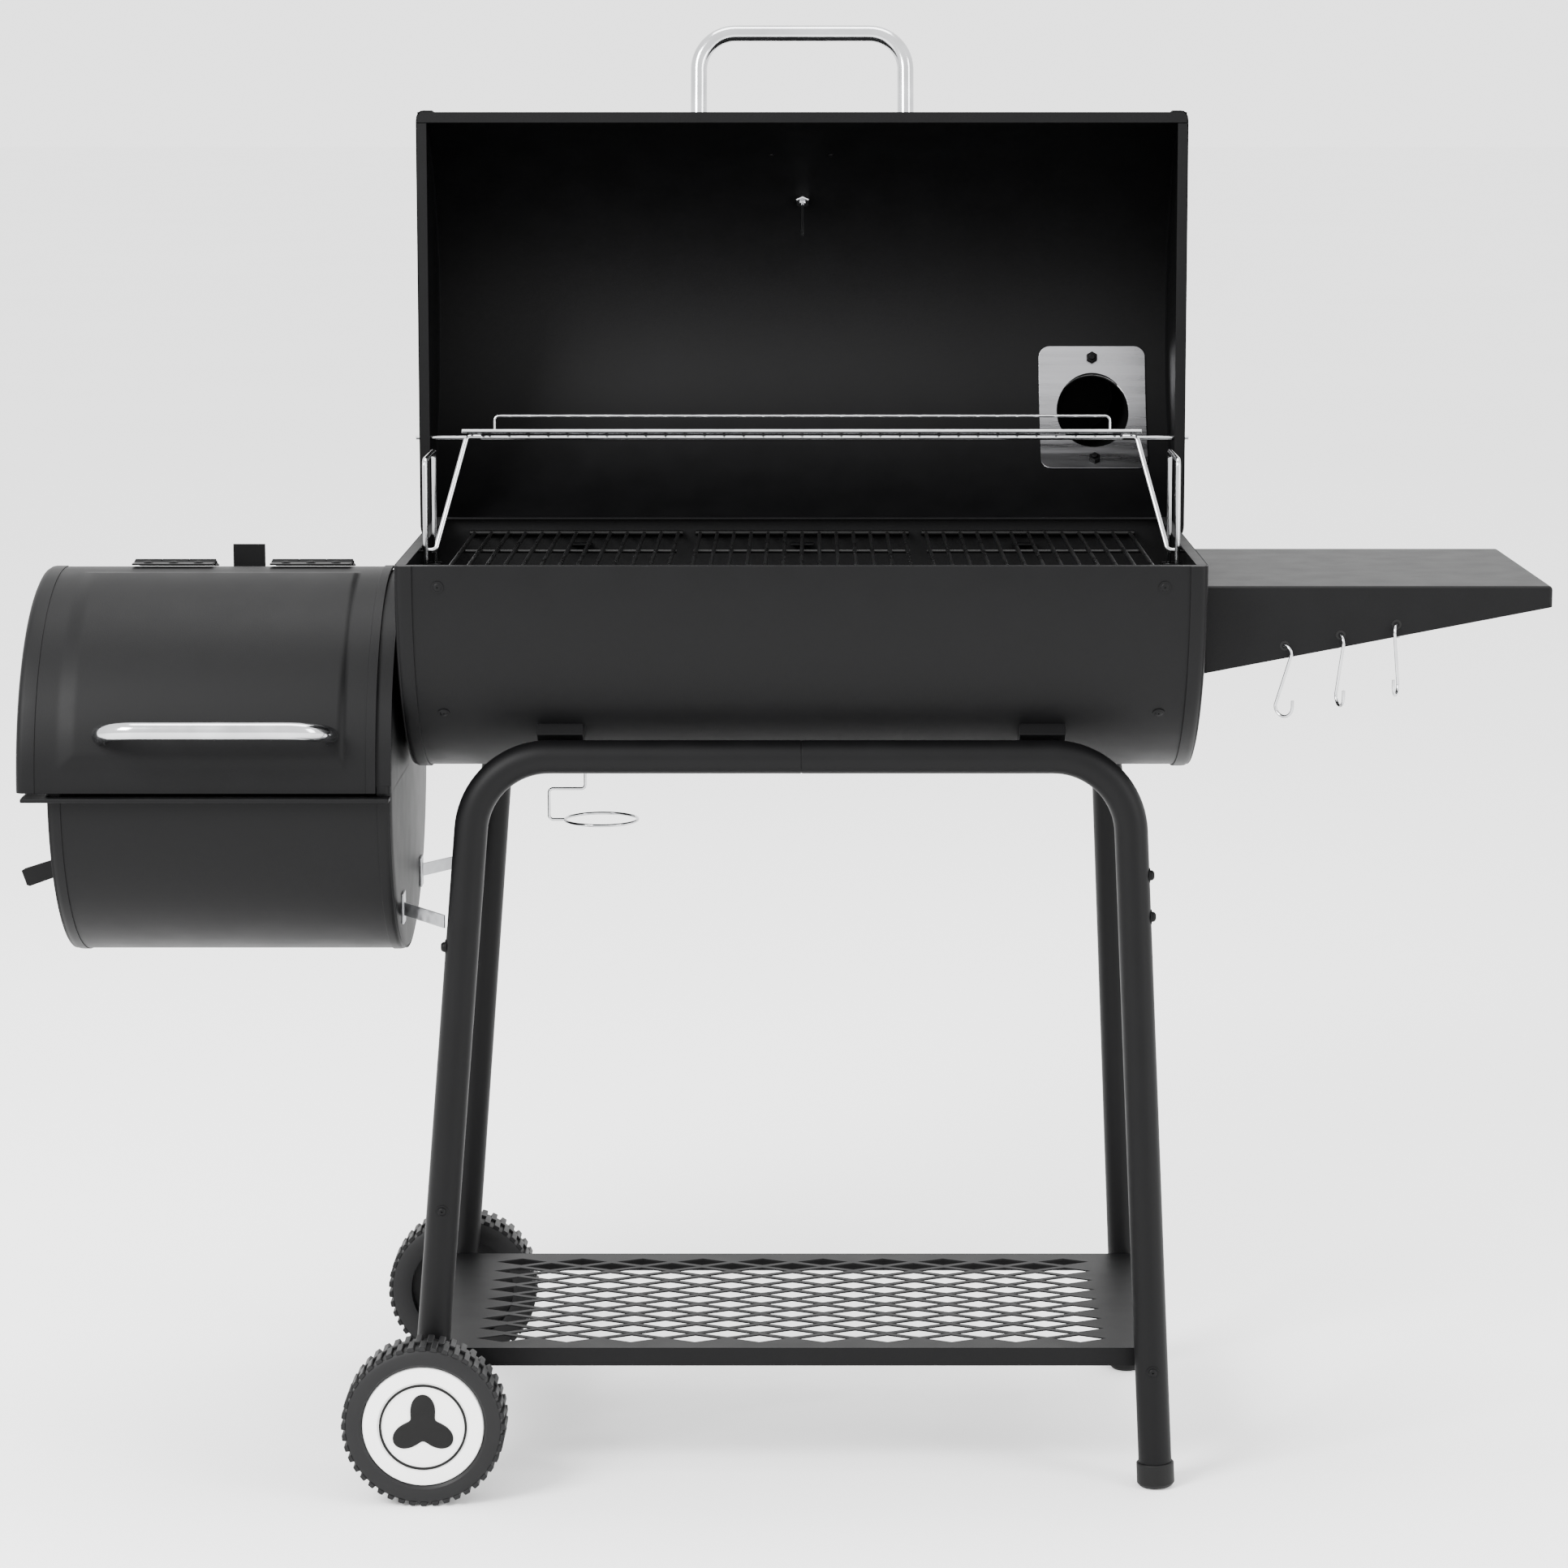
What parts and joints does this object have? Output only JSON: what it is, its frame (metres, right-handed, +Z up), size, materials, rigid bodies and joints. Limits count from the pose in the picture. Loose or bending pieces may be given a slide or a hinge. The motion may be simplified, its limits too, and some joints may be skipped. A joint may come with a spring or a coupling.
{
  "type": "offset smoker",
  "caption": "Charcoal barrel smoker with an offset firebox, hinged lids, warming rack, side table, bottom shelf and a wheeled tube stand.",
  "frame": {"origin": "middle of the bounding box at ground level, with the barrel lid open", "axes": "+X along the barrel towards the side table, -Y the front where the cook stands, +Z up"},
  "size_m": [1.479, 0.9582, 1.4067],
  "materials": {
    "black_paint": "satin heat-resistant black with fine texture",
    "chrome": "polished",
    "bright_steel": "bright plated sheet",
    "galvanised_steel": "zinc plated",
    "black_enamel": "semi-gloss enamel",
    "wheel_plastic": "matt moulded",
    "hub_cap_white": "gloss white",
    "foot_plastic": "matt",
    "dial_glass": "clear",
    "pointer_red": "satin"
  },
  "bodies": {
    "root": {"barrel_bowl_shell": "black_paint", "barrel_end_left": "black_paint", "barrel_end_right": "black_paint", "barrel_hinge_fixed_left": "black_paint", "barrel_hinge_fixed_right": "black_paint", "cooking_grate_left": "black_enamel", "cooking_grate_middle": "black_enamel", "cooking_grate_right": "black_enamel", "firebox_bowl_shell": "black_paint", "firebox_end_left": "black_paint", "firebox_end_right": "black_paint", "firebox_hood": "black_paint", "firebox_grate": "black_enamel", "firebox_brace_front": "galvanised_steel", "firebox_brace_rear": "galvanised_steel", "firebox_hinge_fixed_left": "black_paint", "firebox_hinge_fixed_right": "black_paint", "stand_tube_front_left": "black_paint", "stand_tube_rear_left": "black_paint", "stand_tube_front_right": "black_paint", "stand_tube_rear_right": "black_paint", "foot_cap_front": "foot_plastic", "foot_cap_rear": "foot_plastic", "axle": "galvanised_steel", "bottom_shelf": "black_paint", "side_table": "black_paint"},
    "lid": {"barrel_lid_shell": "black_paint", "barrel_lid_end_left": "black_paint", "barrel_lid_end_right": "black_paint", "barrel_lid_handle": "chrome", "barrel_hinge_lid_left": "black_paint", "barrel_hinge_lid_right": "black_paint", "chimney_pipe": "black_paint", "chimney_inner_plate": "bright_steel", "thermometer_case": "chrome", "thermometer_lens": "dial_glass", "thermometer_probe": "chrome", "warming_rack_rod": "chrome"},
    "chimney_cap": {"chimney_cap": "black_paint"},
    "thermometer_pointer": {"thermometer_pointer": "pointer_red"},
    "warming_rack": {"warming_rack": "chrome"},
    "rack_legs": {"rack_leg_left": "chrome", "rack_leg_right": "chrome"},
    "charcoal_tray": {"charcoal_tray": "black_enamel", "tray_handle_left": "chrome", "tray_handle_right": "chrome"},
    "firebox_lid": {"firebox_lid": "black_paint", "firebox_lid_handle": "chrome", "firebox_hinge_lid_left": "black_paint", "firebox_hinge_lid_right": "black_paint"},
    "firebox_damper": {"firebox_damper": "black_paint"},
    "wheel_front": {"wheel_front": "wheel_plastic", "hub_cap_front": "hub_cap_white"},
    "wheel_rear": {"wheel_rear": "wheel_plastic", "hub_cap_rear": "hub_cap_white"},
    "hook_1": {"tool_hook_1": "chrome"},
    "hook_2": {"tool_hook_2": "chrome"},
    "hook_3": {"tool_hook_3": "chrome"},
    "drip_cup_holder": {"drip_cup_holder": "chrome"}
  },
  "joints": [
    {"name": "lid_hinge", "type": "hinge", "parent": "root", "child": "lid", "pos_m": [0.0262, -0.00207, 0.87], "axis": [1, 0, 0], "range_deg": [0, 90]},
    {"name": "rack_follow", "type": "hinge", "parent": "lid", "child": "warming_rack", "pos_m": [0.0262, 0.04593, 0.978], "axis": [1, 0, 0], "range_deg": [-90, 0]},
    {"name": "rack_legs_swing", "type": "hinge", "parent": "root", "child": "rack_legs", "pos_m": [0.0262, -0.22907, 0.89], "axis": [1, 0, 0], "range_deg": [0, 90]},
    {"name": "chimney_cap_turn", "type": "hinge", "parent": "lid", "child": "chimney_cap", "pos_m": [0.3422, 0.4731, 0.94187], "axis": [0, 1, 0], "range_deg": [0, 110]},
    {"name": "thermometer_needle", "type": "hinge", "parent": "lid", "child": "thermometer_pointer", "pos_m": [0.0262, 0.21898, 1.23007], "axis": [0, 0.8192, 0.5736], "range_deg": [0, 270], "stiffness_Nm_per_rad": 0.0005},
    {"name": "tray_lift", "type": "slide", "parent": "root", "child": "charcoal_tray", "axis": [0, 0, 1], "range_m": [0, 0.06]},
    {"name": "firebox_lid_hinge", "type": "hinge", "parent": "root", "child": "firebox_lid", "pos_m": [0.0262, -0.20503, 0.87573], "axis": [-1, 0, 0], "range_deg": [0, 75]},
    {"name": "firebox_damper_turn", "type": "hinge", "parent": "root", "child": "firebox_damper", "pos_m": [-0.6898, -0.22907, 0.59], "axis": [1, 0, 0], "range_deg": [0, 60]},
    {"name": "wheel_front_spin", "type": "hinge", "parent": "root", "child": "wheel_front", "pos_m": [-0.33393, -0.4151, 0.0785], "axis": [0, 1, 0], "continuous": true},
    {"name": "wheel_rear_spin", "type": "hinge", "parent": "root", "child": "wheel_rear", "pos_m": [-0.33393, -0.04304, 0.0785], "axis": [0, 1, 0], "continuous": true},
    {"name": "hook_1_swing", "type": "hinge", "parent": "root", "child": "hook_1", "pos_m": [0.4855, -0.38937, 0.81704], "axis": [1, 0, 0], "range_deg": [-10, 10]},
    {"name": "hook_2_swing", "type": "hinge", "parent": "root", "child": "hook_2", "pos_m": [0.5385, -0.38937, 0.82725], "axis": [1, 0, 0], "range_deg": [-10, 10]},
    {"name": "hook_3_swing", "type": "hinge", "parent": "root", "child": "hook_3", "pos_m": [0.5915, -0.38937, 0.83747], "axis": [1, 0, 0], "range_deg": [-10, 10]},
    {"name": "drip_holder_turn", "type": "hinge", "parent": "root", "child": "drip_cup_holder", "pos_m": [-0.1888, -0.22907, 0.66], "axis": [0, 0, 1], "range_deg": [-60, 60]}
  ],
  "couplings": [
    {"joint": "rack_follow", "follows": "lid_hinge", "ratio": -1},
    {"joint": "rack_legs_swing", "follows": "lid_hinge", "ratio": 1}
  ]
}
